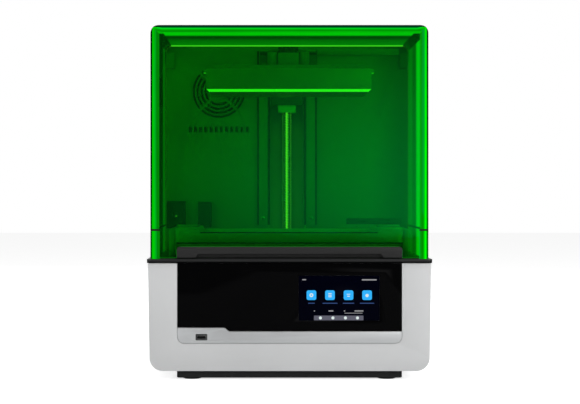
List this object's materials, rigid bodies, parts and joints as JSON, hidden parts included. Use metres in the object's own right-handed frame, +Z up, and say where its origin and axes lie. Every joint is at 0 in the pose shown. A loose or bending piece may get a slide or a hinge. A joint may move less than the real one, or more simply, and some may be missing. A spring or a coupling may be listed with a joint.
{
  "type": "resin printer",
  "caption": "Desktop resin 3-D printer: grey cabinet with touch screen, flip-up tinted lid, screw-driven build plate, vat over a masking display.",
  "frame": {"origin": "centre of the footprint, on the surface that the rubber feet stand on", "axes": "+Z up, +Y from the front panel towards the rear housing, +X to the right seen from the front"},
  "size_m": [0.393, 0.366, 0.49],
  "materials": {
    "cabinet_grey": "satin powder coat",
    "plinth_black": "matt powder coat",
    "rubber": "matt",
    "deck_dark": "satin",
    "gloss_black": "gloss",
    "silver_trim": "satin silver",
    "screen_glass": "gloss",
    "steel_bright": "plain",
    "screw_steel": "ground",
    "nut_brass": "ground",
    "lcd_black": "gloss",
    "light_metal": "sheet",
    "lens_clear": "clear",
    "board_white": "white coat",
    "board_green": "laminate",
    "heatsink_alu": "extruded",
    "black_plastic": "moulded",
    "column_alu": "anodised",
    "arm_dark": "satin",
    "plate_alu": "blasted",
    "cover_grey": "anodised",
    "panel_grey": "satin",
    "light_diffuser": "diffuser",
    "vat_alu": "anodised",
    "film_clear": "clear film",
    "tinted_green": "clear tinted",
    "handle_grey": "satin"
  },
  "bodies": {
    "base": {"base_housing": "cabinet_grey", "rear_cover": "cabinet_grey", "base_plate": "plinth_black", "rubber_feet": "rubber", "lid_seal": "rubber", "deck_plate": "deck_dark", "front_panel": "gloss_black", "trim_strip": "silver_trim", "touch_screen": "screen_glass", "usb_socket": "steel_bright", "film_screws": "steel_bright", "hinge_pins": "steel_bright", "linear_rail": "screw_steel", "lcd_panel": "lcd_black", "lcd_glass": "lcd_black", "light_box": "light_metal", "power_supply": "light_metal", "lens_array": "lens_clear", "led_board": "board_white", "mainboard": "board_green", "heatsink": "heatsink_alu", "led_fan_frame": "black_plastic", "exhaust_fan_frame": "black_plastic", "heater_fan_frame": "black_plastic", "power_inlet": "black_plastic", "limit_sensor": "black_plastic", "camera_pod": "black_plastic", "carbon_filter": "black_plastic", "z_motor": "black_plastic", "z_column": "column_alu", "screw_bearing": "column_alu", "vat_rails": "column_alu", "heater_core": "arm_dark", "back_panel": "panel_grey", "column_covers": "panel_grey", "hinge_brackets": "panel_grey", "chamber_light": "light_diffuser", "vat_frame": "vat_alu", "film_ring": "vat_alu", "vat_film": "film_clear", "side_guard_left": "tinted_green", "side_guard_right": "tinted_green"},
    "lid": {"lid": "tinted_green", "lid_handle": "handle_grey", "lid_damper": "black_plastic"},
    "carriage": {"carriage_block": "screw_steel", "screw_nut": "nut_brass", "z_arm": "arm_dark", "level_screws": "steel_bright", "build_plate": "plate_alu", "plate_cover": "cover_grey"},
    "screw": {"lead_screw": "screw_steel", "z_coupler": "screw_steel"},
    "plate_knob": {"plate_knob": "black_plastic"},
    "led_rotor": {"led_fan_rotor": "black_plastic"},
    "exhaust_rotor": {"exhaust_fan_rotor": "black_plastic"},
    "heater_rotor": {"heater_fan_rotor": "black_plastic"},
    "lock_left": {"vat_lock_left": "column_alu"},
    "lock_right": {"vat_lock_right": "column_alu"},
    "switch": {"power_switch": "black_plastic"}
  },
  "joints": [
    {"name": "lid_hinge", "type": "hinge", "parent": "base", "child": "lid", "pos_m": [0, 0.124, 0.468], "axis": [-1, 0, 0], "range_deg": [0, 85]},
    {"name": "z_slide", "type": "slide", "parent": "base", "child": "carriage", "axis": [0, 0, 1], "range_m": [-0.2305, 0]},
    {"name": "screw_spin", "type": "hinge", "parent": "base", "child": "screw", "pos_m": [0, 0.122, 0.3], "axis": [0, 0, 1], "range_deg": [-20880, 180]},
    {"name": "plate_knob_turn", "type": "hinge", "parent": "carriage", "child": "plate_knob", "pos_m": [0, -0.0405, 0.465], "axis": [0, 0, 1], "range_deg": [0, 360]},
    {"name": "led_fan_spin", "type": "hinge", "parent": "base", "child": "led_rotor", "pos_m": [0, -0.0405, 0.05], "axis": [0, 0, 1], "continuous": true},
    {"name": "exhaust_fan_spin", "type": "hinge", "parent": "base", "child": "exhaust_rotor", "pos_m": [-0.11, 0.17, 0.095], "axis": [0, -1, 0], "continuous": true},
    {"name": "heater_fan_spin", "type": "hinge", "parent": "base", "child": "heater_rotor", "pos_m": [-0.106, 0.12, 0.414], "axis": [0, -1, 0], "continuous": true},
    {"name": "vat_lock_left_turn", "type": "hinge", "parent": "base", "child": "lock_left", "pos_m": [-0.146, -0.0405, 0.21], "axis": [0, 0, -1], "range_deg": [0, 90]},
    {"name": "vat_lock_right_turn", "type": "hinge", "parent": "base", "child": "lock_right", "pos_m": [0.146, -0.0405, 0.21], "axis": [0, 0, 1], "range_deg": [0, 90]},
    {"name": "power_switch_rock", "type": "hinge", "parent": "base", "child": "switch", "pos_m": [0.15, 0.179, 0.048], "axis": [1, 0, 0], "range_deg": [0, 14]}
  ],
  "couplings": [
    {"joint": "screw_spin", "follows": "z_slide", "rad_per_m": 1570.8}
  ]
}
